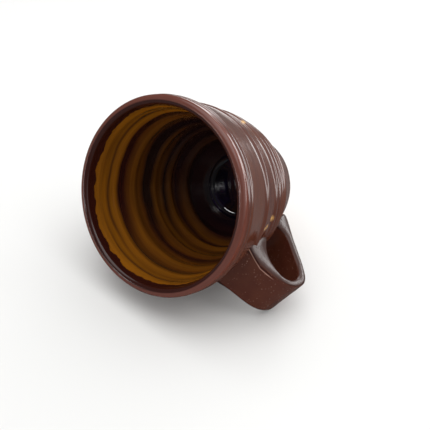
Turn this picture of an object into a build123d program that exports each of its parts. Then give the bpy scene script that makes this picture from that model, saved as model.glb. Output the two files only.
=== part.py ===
from build123d import *
import math
import os

# Wheel-thrown pottery shaving mug, standing on its foot. Millimetres, +Z up. The mug's axis is Z,
# the origin is the centre of the foot's underside and the handle points to -X.

HEIGHT = 90.0
RIM_RADIUS = 49.0
LIP_THICKNESS = 4.7
GLAZE = 0.65

LINER_START = HEIGHT - 4.0
FLOOR_TOP = 10.0
POOL_TOP = 11.2
FOOT_RING_WIDTH = 5.0
FOOT_RECESS = 3.0
BARE_FOOT = 3.0

# The mug's outside is a slow taper of (height, radius) with throwing ridges that stand out of it,
# each as (height, how far it stands out, half its width).
OUTER_TAPER = [
    (-8, 26.5),
    (8, 31.1),
    (19, 34.5),
    (28, 38.2),
    (38, 41.4),
    (51, 43.9),
    (66, 45.9),
    (78, 48.0),
    (96, 49.8),
]
OUTER_RIDGES = [
    (82.0, 0.5, 2.0),
    (61.5, 0.7, 2.0),
    (47.5, 0.7, 2.0),
    (41.0, 0.6, 1.8),
    (35.0, 0.6, 1.8),
    (29.0, 0.6, 1.8),
    (23.5, 0.6, 2.0),
]

# The inside, the same way. Its ridges stand in towards the axis and work up the lather.
INNER_FLOOR = [(0, 10.0), (9, 10.1), (15, 10.6), (20, 12.4), (23.2, 15.2)]
INNER_TAPER = [(12, 21.8), (23, 29.2), (33, 33.9), (40, 36.0), (52, 38.6), (68, 41.6), (96, 45.8)]
INNER_RIDGES = [
    (70.0, 0.6, 3.0),
    (58.5, 0.6, 3.0),
    (43.5, 0.7, 2.6),
    (33.0, 0.7, 2.4),
    (23.0, 0.7, 2.4),
]
WALL_START = 18.5
BEND_REACH = 4.0
OUTLINE_POINTS = 50

# The handle is a wide flat strap. Its outer and inner faces as (distance from the axis, height).
STRAP_WIDTH = 24.4
STRAP_ROUND = 1.2
STRAP_LONG_EDGE = 60.0
STRAP_OUTSIDE = [
    (42, 66),
    (50, 64.2),
    (57.5, 60.4),
    (63.5, 55.8),
    (67.8, 50.5),
    (70, 44),
    (69.8, 37),
    (67, 30.8),
    (61, 25.6),
    (52.5, 20.2),
    (46.5, 16.5),
    (38.7, 12),
    (27, 5.4),
]
STRAP_INSIDE = [
    (40, 44.3),
    (46.5, 49.6),
    (53, 52.4),
    (59, 53),
    (63.4, 51.2),
    (66, 46.5),
    (66.3, 40.5),
    (64.4, 35.3),
    (60, 31.2),
    (53.5, 27.2),
    (46.5, 23.6),
    (40, 20.8),
    (29.5, 15.8),
]


def taper_radius(height, points):
    """Radius on the straight-sided taper through the given (height, radius) points."""
    for (low, r_low), (high, r_high) in zip(points, points[1:]):
        if height <= high:
            return r_low + (r_high - r_low) * (height - low) / (high - low)
    return points[-1][1]


def wall_radius(height, points, ridges, side):
    """Radius of one face of the wall: the taper, bent smoothly at its corners, and its ridges."""
    steps = [-1.0, -0.6, -0.2, 0.2, 0.6, 1.0]
    smooth = sum(taper_radius(height + BEND_REACH * step, points) for step in steps) / len(steps)
    bumps = sum(proud * math.exp(-(((height - at) / half) ** 2)) for at, proud, half in ridges)
    return smooth + side * bumps


def inset(points, depth):
    """The same line of (radius, height) points, moved sideways by depth, to the left of travel."""
    moved = []
    for i, (r, z) in enumerate(points):
        r0, z0 = points[max(i - 1, 0)]
        r1, z1 = points[min(i + 1, len(points) - 1)]
        length = math.hypot(r1 - r0, z1 - z0)
        moved.append((r - depth * (z1 - z0) / length, z + depth * (r1 - r0) / length))
    return moved


def vessel_outline(depth):
    """Half section of the mug's wall, set back from the glazed surface by depth."""
    lip = LIP_THICKNESS / 2
    lip_height = HEIGHT - lip
    outer = []
    for i in range(OUTLINE_POINTS):
        z = lip_height * i / OUTLINE_POINTS
        outer.append((wall_radius(z, OUTER_TAPER, OUTER_RIDGES, 1), z))
    outer.append((RIM_RADIUS, lip_height))
    inner = list(INNER_FLOOR)
    for i in range(OUTLINE_POINTS):
        z = WALL_START + (lip_height - WALL_START) * i / OUTLINE_POINTS
        inner.append((wall_radius(z, INNER_TAPER, INNER_RIDGES, -1), z))
    inner.append((RIM_RADIUS - LIP_THICKNESS, lip_height))
    outer = inset(outer, depth)
    outer[0] = (outer[0][0], 0.0)
    outer[-1] = (RIM_RADIUS - depth, lip_height)
    inner = inset(inner, -depth)
    inner[0] = (0.0, FLOOR_TOP - depth)
    inner[-1] = (RIM_RADIUS - LIP_THICKNESS + depth, lip_height)
    return outer, inner


def section_face(depth):
    """The half section as a face in the XZ plane, closed along the axis and under the foot."""
    outer, inner = vessel_outline(depth)
    top = (RIM_RADIUS - LIP_THICKNESS / 2, HEIGHT - depth)
    outside = Spline(*[(r, 0, z) for r, z in outer])
    lip = ThreePointArc(outside @ 1, (top[0], 0, top[1]), (inner[-1][0], 0, inner[-1][1]))
    inside = Spline(*[(r, 0, z) for r, z in reversed(inner)])
    axis = Line(inside @ 1, (0, 0, 0))
    base = Line((0, 0, 0), outside @ 0)
    return make_face([outside, lip, inside, axis, base])


def block(r_low, r_high, z_low, z_high):
    """A rectangle in the XZ plane."""
    corners = [(r_low, 0, z_low), (r_high, 0, z_low), (r_high, 0, z_high), (r_low, 0, z_high)]
    return make_face(Polyline(*corners, close=True))


def around(face):
    return revolve(face, Axis.Z, 360)


def foot_recess():
    """The hollow turned into the underside, which leaves the foot ring."""
    ring_inside = wall_radius(0, OUTER_TAPER, OUTER_RIDGES, 1) - FOOT_RING_WIDTH
    upright = (Align.CENTER, Align.CENTER, Align.MIN)
    return Cone(ring_inside, ring_inside - FOOT_RECESS, FOOT_RECESS, align=upright)


def strap(depth):
    """The bent strap, set back from the glazed surface by depth on every side but its two ends."""
    outside = inset(STRAP_OUTSIDE, -depth)
    inside = inset(STRAP_INSIDE, depth)
    outer_line = Spline(*[(-r, 0, z) for r, z in outside])
    inner_line = Spline(*[(-r, 0, z) for r, z in inside])
    ends = [Line(outer_line @ 0, inner_line @ 0), Line(outer_line @ 1, inner_line @ 1)]
    face = make_face([outer_line, inner_line] + ends)
    half = STRAP_WIDTH / 2 - depth
    body = extrude(Pos(0, -half, 0) * face, amount=2 * half, dir=(0, 1, 0))
    long_edges = [edge for edge in body.edges() if edge.length > STRAP_LONG_EDGE]
    return fillet(long_edges, STRAP_ROUND - depth)


def nearest_axis(shape):
    return shape.faces().sort_by(Axis.X)[0]


def throw_vessel():
    """The clay wall, and the three coats that lie on it: liner inside, brown outside, pool on the floor."""
    glazed_section = section_face(0)
    clay_section = section_face(GLAZE)
    coat_section = glazed_section - clay_section
    inside_zone = block(0, RIM_RADIUS, 0, LINER_START)
    liner_section = nearest_axis(coat_section & inside_zone)
    outer_section = coat_section - liner_section - block(0, 2 * RIM_RADIUS, -1, BARE_FOOT)
    pool_section = nearest_axis(block(0, RIM_RADIUS, FLOOR_TOP - 1, POOL_TOP) - glazed_section)
    clay = around(clay_section) - foot_recess()
    return clay, around(liner_section), around(outer_section), around(pool_section)


def fit_handle(clay, outer_coat):
    """The strap stands on the glazed wall. Under each of its ends a pad of slip fills the glaze."""
    glazed_strap = strap(0)
    joints = outer_coat & glazed_strap
    vessel = clay + outer_coat
    clay_strap = strap(GLAZE) - vessel
    strap_coat = glazed_strap - strap(GLAZE) - vessel
    return clay_strap, strap_coat, joints


os.makedirs("parts", exist_ok=True)
clay_body, liner_glaze, outer_glaze, floor_pool = throw_vessel()
handle_strap, handle_glaze, joint_pads = fit_handle(clay_body, outer_glaze)
outer_glaze = outer_glaze - joint_pads
lower_pad, upper_pad = joint_pads.solids().sort_by(Axis.Z)

nodes = {
    "thrown_clay_body": clay_body,
    "handle_strap": handle_strap,
    "upper_slip_joint": upper_pad,
    "lower_slip_joint": lower_pad,
    "outer_brown_glaze": outer_glaze,
    "inner_amber_glaze": liner_glaze,
    "handle_brown_glaze": handle_glaze,
    "floor_glaze_pool": floor_pool,
}
for name, piece in nodes.items():
    solids = piece.solids()
    print(name, [round(solid.volume, 1) for solid in solids])
    export_step(solids[0] if len(solids) == 1 else Compound(solids), f"parts/{name}.step")
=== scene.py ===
import math

import bpy
from mathutils import Matrix, Vector


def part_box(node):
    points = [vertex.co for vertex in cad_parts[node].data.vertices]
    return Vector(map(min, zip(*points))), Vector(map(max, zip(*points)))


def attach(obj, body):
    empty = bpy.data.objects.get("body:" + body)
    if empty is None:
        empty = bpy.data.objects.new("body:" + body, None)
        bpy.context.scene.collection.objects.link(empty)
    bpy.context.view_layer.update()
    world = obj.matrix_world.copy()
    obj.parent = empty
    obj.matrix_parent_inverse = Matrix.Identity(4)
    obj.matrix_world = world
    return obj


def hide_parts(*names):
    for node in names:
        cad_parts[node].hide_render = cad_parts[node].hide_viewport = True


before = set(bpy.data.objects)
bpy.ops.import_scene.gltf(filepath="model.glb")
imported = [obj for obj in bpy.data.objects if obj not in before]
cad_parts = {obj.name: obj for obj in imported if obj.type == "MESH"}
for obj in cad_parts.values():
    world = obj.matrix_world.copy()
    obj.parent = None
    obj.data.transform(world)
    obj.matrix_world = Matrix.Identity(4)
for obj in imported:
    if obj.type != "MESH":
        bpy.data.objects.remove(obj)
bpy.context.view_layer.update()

MM = 0.001

# ---------------------------------------------------------------------------------------------
# Sizes, the main ones read from the frame
# ---------------------------------------------------------------------------------------------
coat_low, coat_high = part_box("outer_brown_glaze")
clay_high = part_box("thrown_clay_body")[1]
pool_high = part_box("floor_glaze_pool")[1]
liner_low, liner_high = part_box("inner_amber_glaze")
strap_low, strap_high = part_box("handle_brown_glaze")

HEIGHT = coat_high.z / MM
RIM_RADIUS = coat_high.x / MM
GLAZE = HEIGHT - clay_high.z / MM
BARE_FOOT = coat_low.z / MM
LINER_START = liner_high.z / MM
FLOOR_TOP = liner_low.z / MM + GLAZE
POOL_TOP = pool_high.z / MM
POOL_RADIUS = pool_high.x / MM
STRAP_WIDTH = (strap_high.y - strap_low.y) / MM
LIP = 4.7  # thickness of the rounded lip
BACK = 0.5 * GLAZE  # how far a coat's hidden back lies behind its face

# The throwing marks, in millimetres: (height, radius) tapers and (height, proud, half width) ridges.
OUTER_TAPER = [
    (-8, 26.5),
    (8, 31.1),
    (19, 34.5),
    (28, 38.2),
    (38, 41.4),
    (51, 43.9),
    (66, 45.9),
    (78, 48.0),
    (96, 49.8),
]
OUTER_RIDGES = [
    (84.6, 0.55, 0.9),
    (81.4, 0.7, 1.2),
    (60.8, 1.1, 1.7),
    (47.7, 1.1, 1.5),
    (41.4, 1.0, 1.3),
    (35.4, 1.0, 1.3),
    (29.2, 1.05, 1.3),
    (24.0, 0.95, 1.3),
]
INNER_FLOOR = [(0, 10.0), (9, 10.1), (15, 10.6), (20, 12.4), (23.2, 15.2)]
INNER_TAPER = [(12, 21.8), (23, 29.2), (33, 33.9), (40, 36.0), (52, 38.6), (68, 41.6), (96, 45.8)]
INNER_RIDGES = [
    (81.0, 0.45, 3.2),
    (70.0, 0.8, 2.6),
    (58.5, 0.9, 3.0),
    (43.5, 1.0, 2.2),
    (33.0, 1.0, 1.8),
    (23.0, 1.0, 1.8),
]
WALL_START = 18.5
BEND_REACH = 4.0
TURN_STEPS = 288

# The fine lines of a fingertip on the turning wall: (depth, lines per radian of height, start).
FINGER_MARKS = [(0.012, 2.9, 0), (0.006, 5.3, 1), (0.03, 1.3, 0)]
OUTSIDE_MARKS = 0.35  # how much of them is left outside, where a rib smoothed the wall


def taper_radius(height, points):
    for (low, r_low), (high, r_high) in zip(points, points[1:]):
        if height <= high:
            return r_low + (r_high - r_low) * (height - low) / (high - low)
    return points[-1][1]


def wall_radius(height, points, ridges, side):
    """Radius in millimetres of one face of the wall at a height: its taper and its throwing ridges."""
    steps = [-1.0, -0.6, -0.2, 0.2, 0.6, 1.0]
    smooth = sum(taper_radius(height + BEND_REACH * step, points) for step in steps) / len(steps)
    bumps = sum(proud * math.exp(-(((height - at) / half) ** 2)) for at, proud, half in ridges)
    return smooth + side * bumps


def finger_lines(height):
    return sum(depth * math.sin(rate * height + start) for depth, rate, start in FINGER_MARKS)


def outer_radius(height):
    return wall_radius(height, OUTER_TAPER, OUTER_RIDGES, 1) + OUTSIDE_MARKS * finger_lines(height)


def inner_radius(height):
    return wall_radius(height, INNER_TAPER, INNER_RIDGES, -1) + finger_lines(height)


# ---------------------------------------------------------------------------------------------
# Modelling helpers
# ---------------------------------------------------------------------------------------------
def only(piece):
    """Selects one object alone and makes it active."""
    bpy.ops.object.select_all(action="DESELECT")
    piece.select_set(True)
    bpy.context.view_layer.objects.active = piece


def start_point(name, r, z):
    """A single vertex to extrude from: a plane welded into its centre, at radius r and height z."""
    bpy.ops.object.select_all(action="DESELECT")
    bpy.ops.mesh.primitive_plane_add(size=MM, location=(0, 0, 0))
    piece = bpy.context.active_object
    piece.name = name
    piece.data.name = name
    bpy.ops.object.mode_set(mode="EDIT")
    bpy.ops.mesh.select_all(action="SELECT")
    bpy.ops.mesh.merge(type="CENTER")
    bpy.ops.transform.translate(value=Vector((r, 0, z)) * MM)
    return piece


def draw_outline(points):
    """Pulls the selected vertex along an outline of (radius, height) points."""
    for (r0, z0), (r1, z1) in zip(points, points[1:]):
        step = Vector((r1 - r0, 0, z1 - z0)) * MM
        bpy.ops.mesh.extrude_region_move(TRANSFORM_OT_translate={"value": step})


def turn_on_wheel(name, points, closed):
    """Turns an outline of (radius, height) points once round the mug's axis."""
    piece = start_point(name, *points[0])
    draw_outline(points + [points[0]] if closed else points)
    bpy.ops.mesh.select_all(action="SELECT")
    bpy.ops.mesh.remove_doubles(threshold=0.001 * MM)
    bpy.ops.mesh.spin(steps=TURN_STEPS, angle=2 * math.pi, center=(0, 0, 0), axis=(0, 0, 1))
    bpy.ops.mesh.select_all(action="SELECT")
    bpy.ops.mesh.remove_doubles(threshold=0.002 * MM)
    bpy.ops.mesh.normals_make_consistent(inside=False)
    bpy.ops.object.mode_set(mode="OBJECT")
    return piece


def smooth(piece, angle):
    only(piece)
    bpy.ops.object.shade_smooth_by_angle(angle=math.radians(angle))


def apply_modifier(piece, modifier):
    only(piece)
    bpy.ops.object.modifier_apply(modifier=modifier.name)


def span(low, high, step):
    """Evenly spaced values from low to high, about step apart."""
    count = max(1, round(abs(high - low) / step))
    return [low + (high - low) * i / count for i in range(count + 1)]


def hand_wobble(piece, depth, grain, is_face):
    """Uneven clay: a soft displacement of the vertices on the visible face, depth each way."""
    face = piece.vertex_groups.new(name="visible_face")
    face.add([v.index for v in piece.data.vertices if is_face(v.co)], 1.0, "REPLACE")
    texture = bpy.data.textures.new(piece.name + "_wobble", "CLOUDS")
    texture.noise_scale = grain * MM
    texture.noise_depth = 1
    modifier = piece.modifiers.new("wobble", "DISPLACE")
    modifier.texture = texture
    modifier.texture_coords = "LOCAL"
    modifier.vertex_group = face.name
    modifier.mid_level = 0.5
    modifier.strength = 2 * depth * MM
    apply_modifier(piece, modifier)
    bpy.data.textures.remove(texture)
    piece.vertex_groups.clear()


# ---------------------------------------------------------------------------------------------
# The coats of glaze on the bowl
# ---------------------------------------------------------------------------------------------
LIP_BLEND = 1.2  # how far below the lip's curve the wall's own curve ends
LAP = 3.0  # how far down from its top the liner keeps even, where the brown laps it

# The pool's surface as (share of its radius, rise above its level), then its hidden underside.
POOL_SURFACE = [(0, -0.15), (0.6, -0.13), (0.88, -0.05), (0.99, 0.15), (1.06, 0.7), (1.09, 1.3)]
POOL_UNDERSIDE = [(1.09 * POOL_RADIUS, POOL_TOP + 0.9), (15, 10.4), (9, 9.9), (0, 9.8)]


def lip_arc(inset):
    """The rounded lip from outside to inside, as (radius, height)."""
    middle = RIM_RADIUS - LIP / 2
    half = LIP / 2 - inset
    lift = HEIGHT - LIP / 2
    turns = span(0, math.pi, math.pi / 14)
    return [(middle + half * math.cos(turn), lift + half * math.sin(turn)) for turn in turns]


def on_face(height, radius, co):
    """True on the glazed side of a coat, false on its hidden back."""
    return abs(math.hypot(co.x, co.y) / MM - radius(height)) < 0.4 * BACK


def make_outer_glaze():
    """The brown coat: up the outside, over the lip and a little way down the inside."""
    lip_height = HEIGHT - LIP / 2
    wall_top = lip_height - LIP_BLEND
    face = [(outer_radius(z), z) for z in span(BARE_FOOT, wall_top, 0.6)]
    inside = [(inner_radius(z), z) for z in span(wall_top, LINER_START, 0.4)]
    hidden_in = [(r + BACK, z) for r, z in inside]
    hidden_out = [(r - BACK, z) for r, z in face[::3]]
    outline = face + lip_arc(0) + inside
    outline += hidden_in[::-1] + lip_arc(BACK)[::-1] + hidden_out[::-1]
    coat = turn_on_wheel("outer_glaze", outline, True)

    def below_lip(co):
        return on_face(co.z / MM, outer_radius, co) and co.z / MM < lip_height

    hand_wobble(coat, 0.22, 16, below_lip)
    smooth(coat, 50)
    return coat


def make_inner_glaze():
    """The amber coat inside: down the wall and over the floor."""
    wall = [(inner_radius(z), z) for z in span(LINER_START, WALL_START, 0.6)]
    face = wall + INNER_FLOOR[::-1]
    hidden = [(r + BACK * (z > FLOOR_TOP + 1), z - BACK * (z <= WALL_START)) for r, z in face[::-1]]
    coat = turn_on_wheel("inner_glaze", face + hidden, True)

    def below_lap(co):
        return on_face(co.z / MM, inner_radius, co) and co.z / MM < LINER_START - LAP

    hand_wobble(coat, 0.2, 18, below_lap)
    smooth(coat, 50)
    return coat


def make_pool():
    """Glaze that ran together on the floor, with its edge drawn a little way up the wall."""
    face = [(share * POOL_RADIUS, POOL_TOP + rise) for share, rise in POOL_SURFACE]
    pool = turn_on_wheel("glaze_pool", face + POOL_UNDERSIDE, False)
    smooth(pool, 50)
    return pool


# ---------------------------------------------------------------------------------------------
# The glazed handle
# ---------------------------------------------------------------------------------------------
# Stations along the strap, from inside the wall at the top to inside the wall at the bottom. Each is
# (outer distance, outer height, inner distance, inner height, width beside the plain strap).
STRAP_STATIONS = [
    (40.0, 67.5, 39.0, 42.5, 1.32),
    (44.5, 66.6, 42.4, 46.8, 1.24),
    (47.5, 65.4, 45.3, 49.6, 1.14),
    (51.0, 63.9, 48.8, 51.4, 1.06),
    (54.6, 62.1, 52.2, 52.3, 1.02),
    (58.2, 59.9, 55.6, 52.8, 1.0),
    (61.6, 57.5, 59.0, 52.9, 1.0),
    (64.7, 54.7, 61.8, 52.2, 1.0),
    (67.4, 51.4, 64.1, 50.3, 1.0),
    (69.4, 47.5, 65.6, 47.6, 1.0),
    (70.5, 43.4, 66.3, 44.2, 1.0),
    (70.7, 39.4, 66.3, 40.3, 1.0),
    (70.0, 35.4, 65.4, 37.0, 1.0),
    (68.0, 31.4, 63.6, 34.2, 1.0),
    (64.8, 28.1, 60.8, 31.6, 1.0),
    (60.4, 25.0, 57.0, 29.2, 1.0),
    (55.2, 21.8, 52.0, 26.2, 1.0),
    (49.8, 18.4, 47.4, 23.4, 1.0),
    (44.4, 15.2, 43.4, 21.6, 1.02),
    (39.4, 12.4, 40.0, 21.6, 1.05),
    (34.6, 9.6, 37.0, 23.6, 1.1),
    (28.0, 6.0, 33.0, 26.0, 1.14),
]
STRAP_COLUMNS = 8
STRAP_THICKNESS = 3.9
STRAP_EDGE = 1.5
SEAM_FROM_EDGE = 1.9
SEAM_STATIONS = (4, 8)
SEAM_LOWEST = 56
SEAM_DEPTH = 0.75
SEAM_SIDES = (-0.9, 0, 0.9)


def turn_about(centre, angle):
    """Turns the selection about the Y axis through centre, from +Z towards +X."""
    bpy.ops.transform.rotate(value=-angle, orient_axis="Y", orient_type="GLOBAL", center_override=centre)


def strap_station(outer_r, outer_z, inner_r, inner_z, widening):
    """(middle of the cross-section, lean of its thickness from +Z towards +X, thickness, width)"""
    outer = Vector((-outer_r, 0, outer_z)) * MM
    inner = Vector((-inner_r, 0, inner_z)) * MM
    rise = outer - inner
    return (outer + inner) / 2, math.atan2(rise.x, rise.z), rise.length, STRAP_WIDTH * MM * widening


def select_points(piece, test):
    """Selects the points of the mesh in edit mode whose place passes the test."""
    bpy.ops.mesh.select_mode(type="VERT")
    bpy.ops.mesh.select_all(action="DESELECT")
    bpy.ops.object.mode_set(mode="OBJECT")
    for vertex in piece.data.vertices:
        vertex.select = test(vertex.co)
    bpy.ops.object.mode_set(mode="EDIT")


def strap_section(middle, lean, thick, wide):
    """The first cross-section: a flat blank with rounded corners."""
    bpy.ops.object.select_all(action="DESELECT")
    bpy.ops.mesh.primitive_grid_add(x_subdivisions=1, y_subdivisions=STRAP_COLUMNS, size=1)
    strap = bpy.context.active_object
    strap.name = "glazed_handle"
    strap.data.name = "glazed_handle"
    bpy.ops.object.mode_set(mode="EDIT")
    bpy.ops.mesh.select_all(action="SELECT")
    bpy.ops.transform.resize(value=(STRAP_THICKNESS * MM, wide, 1), center_override=(0, 0, 0))
    select_points(strap, lambda co: abs(co.y) > 0.49 * wide)
    bpy.ops.mesh.bevel(affect="VERTICES", offset=STRAP_EDGE * MM, segments=2, profile=0.5)
    bpy.ops.mesh.select_all(action="SELECT")
    bpy.ops.transform.resize(value=(thick / STRAP_THICKNESS / MM, 1, 1), center_override=(0, 0, 0))
    turn_about((0, 0, 0), lean - math.pi / 2)
    bpy.ops.transform.translate(value=middle)
    return strap


def press_seam(strap):
    """The fold left along one edge of the strap where its clay was lapped over at the top."""
    edge = -STRAP_WIDTH / 2
    for offset in SEAM_SIDES:
        bpy.ops.mesh.select_all(action="SELECT")
        place = Vector((0, edge + SEAM_FROM_EDGE + offset, 0)) * MM
        bpy.ops.mesh.bisect(plane_co=place, plane_no=(0, 1, 0))
    first, last = (strap_station(*STRAP_STATIONS[i]) for i in SEAM_STATIONS)

    def on_seam(co):
        beside = abs(co.y / MM - edge - SEAM_FROM_EDGE) < 0.3
        along = last[0].x < co.x < first[0].x
        return beside and along and co.z / MM > SEAM_LOWEST

    select_points(strap, on_seam)
    bpy.ops.transform.shrink_fatten(value=-SEAM_DEPTH * MM)
    bpy.ops.mesh.select_all(action="SELECT")


def make_handle():
    """The strap, drawn out station by station from its first cross-section, then rounded."""
    stations = [strap_station(*station) for station in STRAP_STATIONS]
    strap = strap_section(*stations[0])
    for (middle, lean, thick, wide), (middle_on, lean_on, thick_on, wide_on) in zip(stations, stations[1:]):
        bpy.ops.mesh.extrude_region_move(TRANSFORM_OT_translate={"value": middle_on - middle})
        turn_about(middle_on, lean_on - lean)
        slim = thick_on / thick
        bpy.ops.transform.resize(value=(slim, wide_on / wide, slim), center_override=middle_on)
    bpy.ops.mesh.select_all(action="SELECT")
    bpy.ops.mesh.normals_make_consistent(inside=False)
    press_seam(strap)
    bpy.ops.mesh.normals_make_consistent(inside=False)
    bpy.ops.object.mode_set(mode="OBJECT")
    rounding = strap.modifiers.new("rounding", "SUBSURF")
    rounding.levels = 3
    rounding.render_levels = 3
    apply_modifier(strap, rounding)
    hand_wobble(strap, 0.25, 11, lambda co: True)
    smooth(strap, 60)
    return strap


outer_glaze = make_outer_glaze()
inner_glaze = make_inner_glaze()
glaze_pool = make_pool()
glazed_handle = make_handle()
for piece, node, slot in (
    (outer_glaze, "outer_brown_glaze", "brown_glaze"),
    (inner_glaze, "inner_amber_glaze", "amber_glaze"),
    (glaze_pool, "floor_glaze_pool", "blue_black_glaze"),
    (glazed_handle, "handle_brown_glaze", "brown_glaze"),
):
    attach(piece, "root")
    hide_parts(node)


# ---------------------------------------------------------------------------------------------
# Material helpers
# ---------------------------------------------------------------------------------------------
def add(tree, kind, **values):
    """Adds a node. Each value sets one of its properties, or else the input of that name."""
    made = tree.nodes.new(kind)
    for name, value in values.items():
        if hasattr(made, name):
            setattr(made, name, value)
        else:
            made.inputs[name.replace("_", " ")].default_value = value
    return made


def maths(tree, operation, first, second=None, third=None, clamp=False):
    """A Math node on links or numbers; returns its output."""
    made = add(tree, "ShaderNodeMath", operation=operation, use_clamp=clamp)
    for socket, value in zip(made.inputs, (first, second, third)):
        if isinstance(value, bpy.types.NodeSocket):
            tree.links.new(value, socket)
        elif value is not None:
            socket.default_value = value
    return made.outputs[0]


def blend(tree, factor, low, high):
    """Mixes two colours, each a link or (r, g, b); returns the mixed colour."""
    made = add(tree, "ShaderNodeMix", data_type="RGBA")
    for socket, value in ((made.inputs[0], factor), (made.inputs[6], low), (made.inputs[7], high)):
        if isinstance(value, bpy.types.NodeSocket):
            tree.links.new(value, socket)
        elif isinstance(value, tuple):
            socket.default_value = (*value, 1)
        else:
            socket.default_value = value
    return made.outputs[2]


def axes_of(tree, vector):
    """The X, Y and Z of a vector."""
    axes = add(tree, "ShaderNodeSeparateXYZ")
    tree.links.new(vector, axes.inputs[0])
    return axes.outputs


def along(tree, vector, direction):
    """How far a vector reaches along a direction."""
    reach = add(tree, "ShaderNodeVectorMath", operation="DOT_PRODUCT")
    reach.inputs[1].default_value = direction
    tree.links.new(vector, reach.inputs[0])
    return reach.outputs["Value"]


def scaled(tree, vector, factors):
    """A vector with its X, Y and Z each multiplied by its own factor."""
    made = add(tree, "ShaderNodeVectorMath", operation="MULTIPLY")
    made.inputs[1].default_value = factors
    tree.links.new(vector, made.inputs[0])
    return made.outputs[0]


def clouds(tree, vector, scale, detail):
    """Soft noise from 0 to 1."""
    noise = add(tree, "ShaderNodeTexNoise", Scale=scale, Detail=detail)
    tree.links.new(vector, noise.inputs["Vector"])
    return noise.outputs[0]


def ramp(tree, factor, stops):
    """A colour ramp through (place, (r, g, b)) stops; returns its colour."""
    made = add(tree, "ShaderNodeValToRGB")
    elements = made.color_ramp.elements
    while len(elements) < len(stops):
        elements.new(0.5)
    for element, (place, colour) in zip(elements, stops):
        element.position = place
        element.color = (*colour, 1)
    tree.links.new(factor, made.inputs[0])
    return made.outputs[0]


def new_group(name, inputs, outputs):
    """An empty node group. Inputs are (name, socket type, default), outputs are names of values."""
    tree = bpy.data.node_groups.new(name, "ShaderNodeTree")
    for label, kind, default in inputs:
        socket = tree.interface.new_socket(name=label, in_out="INPUT", socket_type="NodeSocket" + kind)
        if default is not None:
            socket.default_value = default
    for label in outputs:
        tree.interface.new_socket(name=label, in_out="OUTPUT", socket_type="NodeSocketFloat")
    return tree, tree.nodes.new("NodeGroupInput").outputs, tree.nodes.new("NodeGroupOutput").inputs


def use(tree, group, vector, **values):
    """Places a group in a material and returns its first output."""
    made = add(tree, "ShaderNodeGroup", node_tree=group)
    tree.links.new(vector, made.inputs["Vector"])
    for name, value in values.items():
        made.inputs[name.replace("_", " ")].default_value = value
    return made.outputs[0]


# ---------------------------------------------------------------------------------------------
# Effects that the finishes share
# ---------------------------------------------------------------------------------------------
def make_turned_streaks():
    """Streaks that run round the turning axis: 0 to 1, long sideways and short in height."""
    tree, given, result = new_group(
        "turned_streaks",
        [
            ("Vector", "Vector", None),
            ("Round", "Float", 20.0),
            ("Up", "Float", 300.0),
            ("Seed", "Float", 0.0),
        ],
        ["Streak"],
    )
    stretch = add(tree, "ShaderNodeCombineXYZ")
    tree.links.new(given["Round"], stretch.inputs[0])
    tree.links.new(given["Round"], stretch.inputs[1])
    tree.links.new(given["Up"], stretch.inputs[2])
    place = add(tree, "ShaderNodeVectorMath", operation="MULTIPLY")
    tree.links.new(given["Vector"], place.inputs[0])
    tree.links.new(stretch.outputs[0], place.inputs[1])
    noise = add(tree, "ShaderNodeTexNoise", noise_dimensions="4D", Scale=1.0, Detail=3.0, Roughness=0.55)
    tree.links.new(place.outputs[0], noise.inputs["Vector"])
    tree.links.new(given["Seed"], noise.inputs["W"])
    spread = add(tree, "ShaderNodeMapRange", From_Min=0.3, From_Max=0.7)
    tree.links.new(noise.outputs[0], spread.inputs[0])
    tree.links.new(spread.outputs[0], result["Streak"])
    return tree


def make_specks():
    """Scattered round specks: 1 in the middle of a speck, 0 on plain glaze."""
    tree, given, result = new_group(
        "specks",
        [
            ("Vector", "Vector", None),
            ("Spacing", "Float", 500.0),
            ("Size", "Float", 0.3),
            ("Share", "Float", 0.3),
        ],
        ["Speck"],
    )
    cells = add(tree, "ShaderNodeTexVoronoi")
    tree.links.new(given["Vector"], cells.inputs["Vector"])
    tree.links.new(given["Spacing"], cells.inputs["Scale"])
    near = maths(tree, "DIVIDE", cells.outputs["Distance"], given["Size"])
    dot = maths(tree, "SUBTRACT", 1.0, near, clamp=True)
    pick = add(tree, "ShaderNodeSeparateColor")
    tree.links.new(cells.outputs["Color"], pick.inputs[0])
    chosen = maths(tree, "LESS_THAN", pick.outputs[0], given["Share"])
    tree.links.new(maths(tree, "MULTIPLY", dot, chosen), result["Speck"])
    return tree


def make_glaze_line():
    """Where one glaze laps another inside the lip: 1 above the uneven line, 0 below it."""
    tree, given, result = new_group(
        "glaze_line",
        [
            ("Vector", "Vector", None),
            ("Height", "Float", 0.086),
            ("Sway", "Float", 0.002),
            ("Drips", "Float", 0.001),
        ],
        ["Above"],
    )
    upright = scaled(tree, given["Vector"], (1, 1, 0.15))
    sway = maths(tree, "SUBTRACT", clouds(tree, upright, 30.0, 1.0), 0.5)
    drips = maths(tree, "SUBTRACT", clouds(tree, upright, 170.0, 2.0), 0.5)
    swing = maths(tree, "MULTIPLY", sway, given["Sway"])
    drip = maths(tree, "MULTIPLY", drips, given["Drips"])
    line = maths(tree, "ADD", given["Height"], maths(tree, "ADD", swing, drip))
    over = maths(tree, "SUBTRACT", axes_of(tree, given["Vector"])[2], line)
    edge = maths(tree, "MULTIPLY_ADD", over, 2500.0, 0.5, clamp=True)
    tree.links.new(edge, result["Above"])
    return tree


turned_streaks = make_turned_streaks()
specks = make_specks()
glaze_line = make_glaze_line()


def new_finish(name, roughness):
    """A material with its Principled shader and the piece's own coordinates."""
    material = bpy.data.materials.new(name)
    material.use_nodes = True
    tree = material.node_tree
    shader = tree.nodes["Principled BSDF"]
    shader.inputs["Roughness"].default_value = roughness
    place = add(tree, "ShaderNodeTexCoord").outputs["Object"]
    return material, tree, shader, place


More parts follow.
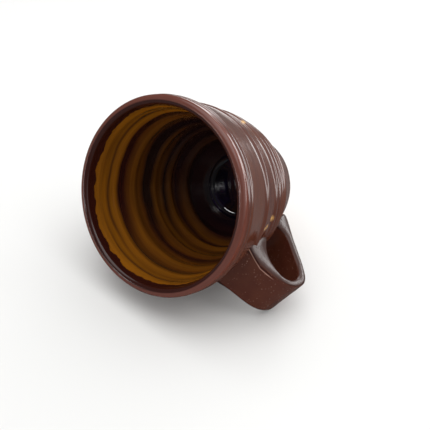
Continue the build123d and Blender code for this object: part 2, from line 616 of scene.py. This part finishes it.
def relief(tree, shader, height, distance):
    bump = add(tree, "ShaderNodeBump", Strength=1.0, Distance=distance)
    tree.links.new(height, bump.inputs["Height"])
    tree.links.new(bump.outputs[0], shader.inputs["Normal"])


# ---------------------------------------------------------------------------------------------
# Colours of the glazes and the clay, and of the painted light and shade on them
# ---------------------------------------------------------------------------------------------
DEEP_BROWN = (0.060, 0.012, 0.008)
RED_BROWN = (0.108, 0.032, 0.016)
ROSE_BROWN = (0.142, 0.052, 0.030)
# Painted sheen: the top of the lip is coloured lighter and greyer, as if catching the light.
LIP_SHEEN = (0.130, 0.045, 0.034)
# Painted shade: the brown glaze inside the lip, coloured as it looks in the lip's shade.
LIP_SHADE = (0.030, 0.006, 0.004)
# Darker handle edges: partly thicker glaze, partly painted shade on the strap's side faces where they face
# the light.
EDGE_GLAZE_AND_SHADE = (0.042, 0.012, 0.007)
# The handle seam's painted shade in its groove and painted highlight along its fold.
SEAM_SHADE = (0.020, 0.003, 0.002)
SEAM_HIGHLIGHT = (0.45, 0.26, 0.20)
RED_GLOW = (0.210, 0.034, 0.012)
GOLD = (0.62, 0.34, 0.10)
PINHOLE = (0.42, 0.24, 0.19)
GROG = (0.12, 0.05, 0.03)
OCHRE = (0.270, 0.094, 0.006)
OLIVE_BROWN = (0.075, 0.028, 0.007)
AMBER = (0.22, 0.076, 0.007)
DARK_AMBER = (0.135, 0.042, 0.006)
UMBER = (0.044, 0.009, 0.006)
BLACK_BROWN = (0.022, 0.009, 0.006)
BLUE_BLACK = (0.005, 0.005, 0.016)
# Nearly black liner deep in the bowl: dark glaze together with painted shade.
PLUM_BLACK_GLAZE_AND_SHADE = (0.010, 0.005, 0.010)

# The liner glaze breaks from ochre on the ridges to black in the furrows: (depth below the lip, colour).
LINER_BANDS = [
    (7, OCHRE),
    (14, OCHRE),
    (15.4, OLIVE_BROWN),
    (17, OCHRE),
    (20, OCHRE),
    (21.7, UMBER),
    (25, UMBER),
    (28, DARK_AMBER),
    (31, AMBER),
    (36.5, DARK_AMBER),
    (39, BLACK_BROWN),
    (43.5, BLACK_BROWN),
    (46, AMBER),
    (50.5, AMBER),
    (53, BLACK_BROWN),
    (57, OCHRE),
    (60.5, UMBER),
    (67, OCHRE),
    (70.5, BLACK_BROWN),
    (74, UMBER),
    (77, BLACK_BROWN),
    (79.3, BLUE_BLACK),
]

# On one side, where the light falls on the lower wall, the same bands are painted lighter and never get to
# black: painted light.
LIT_SIDE_BANDS = [
    (6, OCHRE),
    (9.5, OCHRE),
    (10.5, OLIVE_BROWN),
    (12, OCHRE),
    (19, OCHRE),
    (22, OLIVE_BROWN),
    (25, DARK_AMBER),
    (30, AMBER),
    (37, DARK_AMBER),
    (41, UMBER),
    (43.5, DARK_AMBER),
    (50, AMBER),
    (53, DARK_AMBER),
    (58, AMBER),
    (61, UMBER),
    (64, AMBER),
    (68, UMBER),
    (71, BLACK_BROWN),
    (75, UMBER),
    (79.3, BLUE_BLACK),
]
LIT_SIDE = (-0.80, 0.60, 0)

# Deep in the bowl the liner is nearly black: its own dark glaze there, with painted shade, which starts
# sooner on the shaded side.
SHADED_SIDE = (0.81, -0.59, 0)
DARK_GLAZE_AND_SHADE_DEPTH = 45
DARK_GLAZE_AND_SHADE_SHARE = 0.84

BAND_SWAY = 4.5
RED_GLOW_LEVELS = [(0.945, (0, 0, 0)), (0.965, (1, 1, 1)), (0.985, (1, 1, 1)), (1.0, (0, 0, 0))]

# Spots rubbed through to gold on the ridges: (angle round the mug in degrees, height, half width).
GOLD_RUBS = [(-145.5, 50.2, 2.0), (-150.5, 54.2, 1.7), (-151.5, 56.4, 1.3), (-75.0, 49.2, 1.8)]

# The handle's seam turns outwards where it nears the root.
SEAM_TURN = 54
SEAM_SLANT = 0.35
# The seam's painted shade line and painted highlight line: (offset, half width, colour).
SEAM_SHADE_AND_HIGHLIGHT = [(0, 0.45, SEAM_SHADE), (0.75, 0.28, SEAM_HIGHLIGHT)]

POOL_COLOURS = [
    (0.35, (0.0006, 0.0008, 0.003)),
    (0.55, (0.002, 0.0015, 0.010)),
    (0.72, (0.014, 0.007, 0.034)),
]


def amber_colour(tree, place):
    """The banded liner colour at a point inside the bowl, with painted light on one side and painted shade
    deep down and on the other side.
    """
    sway = use(tree, turned_streaks, place, Round=14.0, Up=25.0, Seed=3.0)
    depth = maths(tree, "SUBTRACT", HEIGHT * MM, axes_of(tree, place)[2])
    swayed = maths(tree, "MULTIPLY_ADD", maths(tree, "SUBTRACT", sway, 0.5), BAND_SWAY * MM, depth)
    share = maths(tree, "DIVIDE", swayed, HEIGHT * MM)
    pooled = ramp(tree, share, [(depth / HEIGHT, colour) for depth, colour in LINER_BANDS])
    # Painted light: lighter bands, blended in towards the lit side.
    thin = ramp(tree, share, [(depth / HEIGHT, colour) for depth, colour in LIT_SIDE_BANDS])
    patch = use(tree, turned_streaks, place, Round=40.0, Up=90.0, Seed=11.0)
    turn = maths(tree, "MULTIPLY_ADD", along(tree, place, LIT_SIDE), 40.0, -0.25)
    lit_side_share = maths(tree, "MULTIPLY_ADD", maths(tree, "SUBTRACT", patch, 0.5), 0.5, turn, clamp=True)
    bands = blend(tree, lit_side_share, pooled, thin)
    # Painted shade: deeper in the bowl, and sooner on the shaded side, the liner turns nearly black.
    shaded = maths(tree, "MULTIPLY", along(tree, place, SHADED_SIDE), 22.0)
    deeper = maths(tree, "SUBTRACT", swayed, DARK_GLAZE_AND_SHADE_DEPTH * MM)
    darker = maths(tree, "MULTIPLY_ADD", deeper, 40.0, shaded, clamp=True)
    bands = blend(tree, maths(tree, "MULTIPLY", darker, DARK_GLAZE_AND_SHADE_SHARE), bands, PLUM_BLACK_GLAZE_AND_SHADE)
    broad = use(tree, turned_streaks, place, Round=22.0, Up=260.0, Seed=1.0)
    fine = use(tree, turned_streaks, place, Round=30.0, Up=900.0, Seed=7.0)
    shade = maths(tree, "MULTIPLY_ADD", broad, 0.4, 0.65)
    shade = maths(tree, "MULTIPLY", shade, maths(tree, "MULTIPLY_ADD", fine, 0.3, 0.8))
    return blend(tree, shade, BLACK_BROWN, bands)


def rubbed_spots(tree, place):
    """1 in the middle of the gold spots, 0 away from them."""
    total = None
    for angle, height, reach in GOLD_RUBS:
        turn = math.radians(angle)
        r = outer_radius(height)
        spot = add(tree, "ShaderNodeVectorMath", operation="DISTANCE")
        tree.links.new(place, spot.inputs[0])
        spot.inputs[1].default_value = Vector((r * math.cos(turn), r * math.sin(turn), height)) * MM
        near = maths(tree, "MULTIPLY_ADD", spot.outputs["Value"], -1 / (reach * MM), 1.0, clamp=True)
        total = near if total is None else maths(tree, "MAXIMUM", total, near)
    return total


def inner_lip(tree, place, level):
    """1 on the inner half of the lip and inside it, where the brown glaze is painted in shade, 0 on the
    rest of the brown glaze.
    """
    radius = add(tree, "ShaderNodeVectorMath", operation="LENGTH")
    tree.links.new(scaled(tree, place, (1, 1, 0)), radius.inputs[0])
    inward = maths(tree, "SUBTRACT", (RIM_RADIUS - 0.55 * LIP) * MM, radius.outputs["Value"])
    inside = maths(tree, "MULTIPLY_ADD", inward, 1800.0, 0.5, clamp=True)
    return maths(tree, "MULTIPLY", inside, maths(tree, "GREATER_THAN", level, 0.9))


def brown_colour(tree, place):
    """The brown glaze: rosier where it thins, glowing red under the lip, a painted sheen on the lip's top
    and painted shade inside the lip, rubbed gold in a few spots.
    """
    broad = use(tree, turned_streaks, place, Round=16.0, Up=110.0, Seed=5.0)
    fine = use(tree, turned_streaks, place, Round=40.0, Up=700.0, Seed=9.0)
    colour = blend(tree, broad, DEEP_BROWN, RED_BROWN)
    thin = maths(tree, "MULTIPLY", fine, 0.30)
    colour = blend(tree, thin, colour, ROSE_BROWN)
    level = maths(tree, "DIVIDE", axes_of(tree, place)[2], HEIGHT * MM)
    glow = ramp(tree, level, RED_GLOW_LEVELS)
    glow = maths(tree, "MULTIPLY", glow, maths(tree, "MULTIPLY_ADD", broad, 0.6, 0.15))
    colour = blend(tree, glow, colour, RED_GLOW)
    # Painted sheen on the top of the lip.
    lip_sheen = maths(tree, "MULTIPLY_ADD", level, 80.0, -78.2, clamp=True)
    colour = blend(tree, maths(tree, "MULTIPLY", lip_sheen, 0.8), colour, LIP_SHEEN)
    # Painted shade on the inner half of the lip.
    colour = blend(tree, inner_lip(tree, place, level), colour, LIP_SHADE)
    rubbed = maths(tree, "MULTIPLY", rubbed_spots(tree, place), maths(tree, "MULTIPLY_ADD", fine, 1.6, 0.2))
    rubbed = maths(tree, "MULTIPLY", rubbed, 1.3, clamp=True)
    return blend(tree, rubbed, colour, GOLD)


# ---------------------------------------------------------------------------------------------
# Finishes
# ---------------------------------------------------------------------------------------------
def make_brown_finish():
    material, tree, shader, place = new_finish("brown_glaze_finish", 0.15)
    tree.links.new(brown_colour(tree, place), shader.inputs["Base Color"])
    fine = use(tree, turned_streaks, place, Round=30.0, Up=1100.0, Seed=2.0)
    pits = use(tree, specks, place, Spacing=420.0, Size=0.16, Share=0.12)
    relief(tree, shader, maths(tree, "MULTIPLY_ADD", pits, -12.0, fine), 0.000005)
    return material


def make_amber_finish():
    material, tree, shader, place = new_finish("amber_glaze_finish", 0.13)
    above = use(tree, glaze_line, place, Height=(LINER_START - 2.2) * MM, Sway=0.006, Drips=0.0045)
    # Above the glaze line, the brown glaze that laps inside is painted in shade.
    colour = blend(tree, above, amber_colour(tree, place), LIP_SHADE)
    tree.links.new(colour, shader.inputs["Base Color"])
    fine = use(tree, turned_streaks, place, Round=26.0, Up=900.0, Seed=4.0)
    relief(tree, shader, maths(tree, "MULTIPLY_ADD", above, 2.0, fine), 0.00008)
    return material


def seam_shade_and_highlight(tree, axes, colour):
    """Adds the folded seam's painted lines to the handle's colour: painted shade in its groove and a
    painted highlight beside it.
    """
    seam = -(STRAP_WIDTH / 2 - SEAM_FROM_EDGE) * MM
    upper = maths(tree, "MULTIPLY_ADD", axes[2], 400.0, -0.057 * 400, clamp=True)
    rootward = maths(tree, "MAXIMUM", maths(tree, "ADD", axes[0], SEAM_TURN * MM), 0.0)
    across = maths(tree, "MULTIPLY_ADD", rootward, SEAM_SLANT, axes[1])
    for offset, half, line in SEAM_SHADE_AND_HIGHLIGHT:
        away = maths(tree, "ABSOLUTE", maths(tree, "SUBTRACT", across, seam + offset * MM))
        on_line = maths(tree, "MULTIPLY_ADD", away, -1 / (half * MM), 1.0, clamp=True)
        colour = blend(tree, maths(tree, "MULTIPLY", on_line, upper), colour, line)
    return colour


def make_handle_finish():
    material, tree, shader, place = new_finish("handle_glaze_finish", 0.27)
    shader.inputs["Specular IOR Level"].default_value = 0.3
    colour = blend(tree, clouds(tree, place, 110.0, 3.0), DEEP_BROWN, RED_BROWN)
    small = use(tree, specks, place, Spacing=1100.0, Size=0.30, Share=0.18)
    large = use(tree, specks, place, Spacing=420.0, Size=0.18, Share=0.15)
    spots = maths(tree, "MAXIMUM", small, large)
    colour = blend(tree, spots, colour, PINHOLE)
    axes = axes_of(tree, place)
    # Darker along the strap's edges: thicker glaze, and painted shade on its side faces.
    beside = maths(tree, "SUBTRACT", maths(tree, "ABSOLUTE", axes[1]), 0.455 * STRAP_WIDTH * MM)
    edge = maths(tree, "MULTIPLY", beside, 1500.0, clamp=True)
    colour = blend(tree, edge, colour, EDGE_GLAZE_AND_SHADE)
    colour = seam_shade_and_highlight(tree, axes, colour)
    tree.links.new(colour, shader.inputs["Base Color"])
    peel = clouds(tree, place, 420.0, 2.0)
    relief(tree, shader, maths(tree, "MULTIPLY_ADD", spots, 1.2, peel), 0.00012)
    return material


def make_pool_finish():
    material, tree, shader, place = new_finish("pooled_glaze_finish", 0.02)
    colour = ramp(tree, clouds(tree, place, 70.0, 2.0), POOL_COLOURS)
    tree.links.new(colour, shader.inputs["Base Color"])
    return material


def make_clay_finish(name, dark, light, grain):
    material, tree, shader, place = new_finish(name, 0.85)
    coarse = clouds(tree, place, grain, 4.0)
    grog = use(tree, specks, place, Spacing=900.0, Size=0.35, Share=0.25)
    colour = blend(tree, coarse, dark, light)
    tree.links.new(blend(tree, grog, colour, GROG), shader.inputs["Base Color"])
    relief(tree, shader, maths(tree, "MULTIPLY_ADD", grog, -0.8, coarse), 0.0002)
    return material


brown_finish = make_brown_finish()
clay_finish = make_clay_finish("fired_clay_finish", (0.30, 0.13, 0.07), (0.42, 0.21, 0.12), 350.0)
slip_finish = make_clay_finish("slip_finish", (0.28, 0.12, 0.07), (0.38, 0.19, 0.11), 800.0)
for piece, material in (
    (outer_glaze, brown_finish),
    (inner_glaze, make_amber_finish()),
    (glaze_pool, make_pool_finish()),
    (glazed_handle, make_handle_finish()),
    (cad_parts["thrown_clay_body"], clay_finish),
    (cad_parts["handle_strap"], clay_finish),
    (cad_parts["upper_slip_joint"], slip_finish),
    (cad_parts["lower_slip_joint"], slip_finish),
):
    piece.data.materials.clear()
    piece.data.materials.append(material)


# ---------------------------------------------------------------------------------------------
# Camera: in front of the mouth, from the side away from the handle
# ---------------------------------------------------------------------------------------------
CAMERA_PLACE = Vector((-97.7, -163.9, 337.0)) * MM
CAMERA_AIM = Vector((-22.5, -14.0, 76.4)) * MM
CAMERA_UP = Vector((0.7996, -0.5906, -0.1092))
CAMERA_LENS = 54.42


def basis(right, up, back, place):
    """A matrix from three axes and a place."""
    return Matrix((
        (right.x, up.x, back.x, place.x),
        (right.y, up.y, back.y, place.y),
        (right.z, up.z, back.z, place.z),
        (0, 0, 0, 1),
    ))


def make_camera():
    bpy.ops.object.select_all(action="DESELECT")
    bpy.ops.object.camera_add()
    camera = bpy.context.active_object
    camera.name = "camera"
    camera.data.lens = CAMERA_LENS
    camera.data.sensor_width = 36
    camera.data.clip_start = 0.01
    back = (CAMERA_PLACE - CAMERA_AIM).normalized()
    right = CAMERA_UP.cross(back).normalized()
    up = back.cross(right)
    camera.matrix_world = basis(right, up, back, CAMERA_PLACE)
    bpy.context.scene.camera = camera
    return back


# ---------------------------------------------------------------------------------------------
# Studio: the mug lies on its belly and its handle on a pale floor
# ---------------------------------------------------------------------------------------------
FLOOR_DOWN = Vector((-0.427, 0.833, -0.351)).normalized()
FLOOR_SIZE = 6
FLOOR_PALE = (0.80, 0.80, 0.79)
FLOOR_MIRRORED = (0.15, 0.15, 0.15)

# Each lamp as (name, how far right, up and away from the mug, height and width, watts).
LAMPS = [
    ("overhead_softbox", 0.05, 0.95, 0.02, (1.3, 1.1), 6.8),
    ("side_strip", 0.95, 0.15, 0.50, (0.24, 1.5), 4.8),
    ("back_strip", 0.10, 0.16, 1.15, (0.30, 1.3), 3.2),
    ("window_left", -0.95, 0.27, -0.55, (0.05, 0.12), 0.4),
    ("window_low", -0.86, 0.10, -0.62, (0.07, 0.04), 0.30),
    ("window_front", -0.55, 0.42, -0.95, (0.07, 0.05), 0.3),
]


def floor_depth():
    """How far the object reaches down towards the floor."""
    reach = 0
    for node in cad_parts.values():
        reach = max(reach, max(vertex.co.dot(FLOOR_DOWN) for vertex in node.data.vertices))
    return reach


def make_floor(centre, right, away, up):
    """A pale floor, darker in the glaze's reflections and clear from below."""
    foot = centre + FLOOR_DOWN * (floor_depth() - centre.dot(FLOOR_DOWN))
    bpy.ops.object.select_all(action="DESELECT")
    bpy.ops.mesh.primitive_grid_add(x_subdivisions=8, y_subdivisions=8, size=FLOOR_SIZE)
    floor = bpy.context.active_object
    floor.name = "floor"
    floor.matrix_world = basis(right, away, up, foot)
    material = bpy.data.materials.new("floor_paint")
    material.use_nodes = True
    tree = material.node_tree
    shader = tree.nodes["Principled BSDF"]
    path = add(tree, "ShaderNodeLightPath")
    paint = blend(tree, path.outputs["Is Glossy Ray"], FLOOR_PALE, FLOOR_MIRRORED)
    tree.links.new(paint, shader.inputs["Base Color"])
    shader.inputs["Roughness"].default_value = 0.9
    shader.inputs["Specular IOR Level"].default_value = 0.1
    clear = add(tree, "ShaderNodeBsdfTransparent")
    mix = add(tree, "ShaderNodeMixShader")
    behind = add(tree, "ShaderNodeNewGeometry").outputs["Backfacing"]
    seen = path.outputs["Is Camera Ray"]
    tree.links.new(maths(tree, "MULTIPLY", behind, seen), mix.inputs["Fac"])
    tree.links.new(shader.outputs["BSDF"], mix.inputs[1])
    tree.links.new(clear.outputs["BSDF"], mix.inputs[2])
    tree.links.new(mix.outputs["Shader"], tree.nodes["Material Output"].inputs["Surface"])
    floor.data.materials.append(material)


def gradient(tree, direction, towards, low, high):
    """World strength that rises along a direction: low and high are (share of the way, strength)."""
    glow = add(
        tree, "ShaderNodeMapRange", From_Min=low[0], From_Max=high[0], To_Min=low[1], To_Max=high[1]
    )
    tree.links.new(along(tree, direction, towards.normalized()), glow.inputs[0])
    return glow.outputs[0]


def make_studio(back):
    up = -FLOOR_DOWN
    away = (-back - (-back).dot(up) * up).normalized()
    right = away.cross(up)
    centre = Vector((0, 0, HEIGHT * MM / 2))
    make_floor(centre, right, away, up)

    for name, side, rise, depth, size, power in LAMPS:
        bpy.ops.object.select_all(action="DESELECT")
        bpy.ops.object.light_add(type="AREA")
        lamp = bpy.context.active_object
        lamp.name = name
        lamp.data.shape = "RECTANGLE"
        lamp.data.size, lamp.data.size_y = size
        lamp.data.energy = power
        place = centre + right * side + up * rise + away * depth
        facing = (place - centre).normalized()
        across = away.cross(facing).normalized()
        lamp.matrix_world = basis(across, facing.cross(across), facing, place)

    world = bpy.data.worlds.new("studio")
    bpy.context.scene.world = world
    world.use_nodes = True
    tree = world.node_tree
    direction = add(tree, "ShaderNodeTexCoord").outputs["Generated"]
    fill = gradient(tree, direction, away * 0.3 + up * 0.5 + right * 0.1, (-0.35, 0.56), (0.6, 0.78))
    mirrored = gradient(tree, direction, right * 0.9 + up * 0.5 + away * 0.2, (0.30, 0.10), (0.90, 0.95))
    path = add(tree, "ShaderNodeLightPath")
    glow = add(tree, "ShaderNodeMix")
    tree.links.new(path.outputs["Is Glossy Ray"], glow.inputs[0])
    tree.links.new(fill, glow.inputs[2])
    tree.links.new(mirrored, glow.inputs[3])
    background = tree.nodes["Background"]
    background.inputs["Color"].default_value = (1, 1, 1, 1)
    tree.links.new(glow.outputs[0], background.inputs["Strength"])
    bpy.context.scene.view_settings.view_transform = "Standard"


make_studio(make_camera())
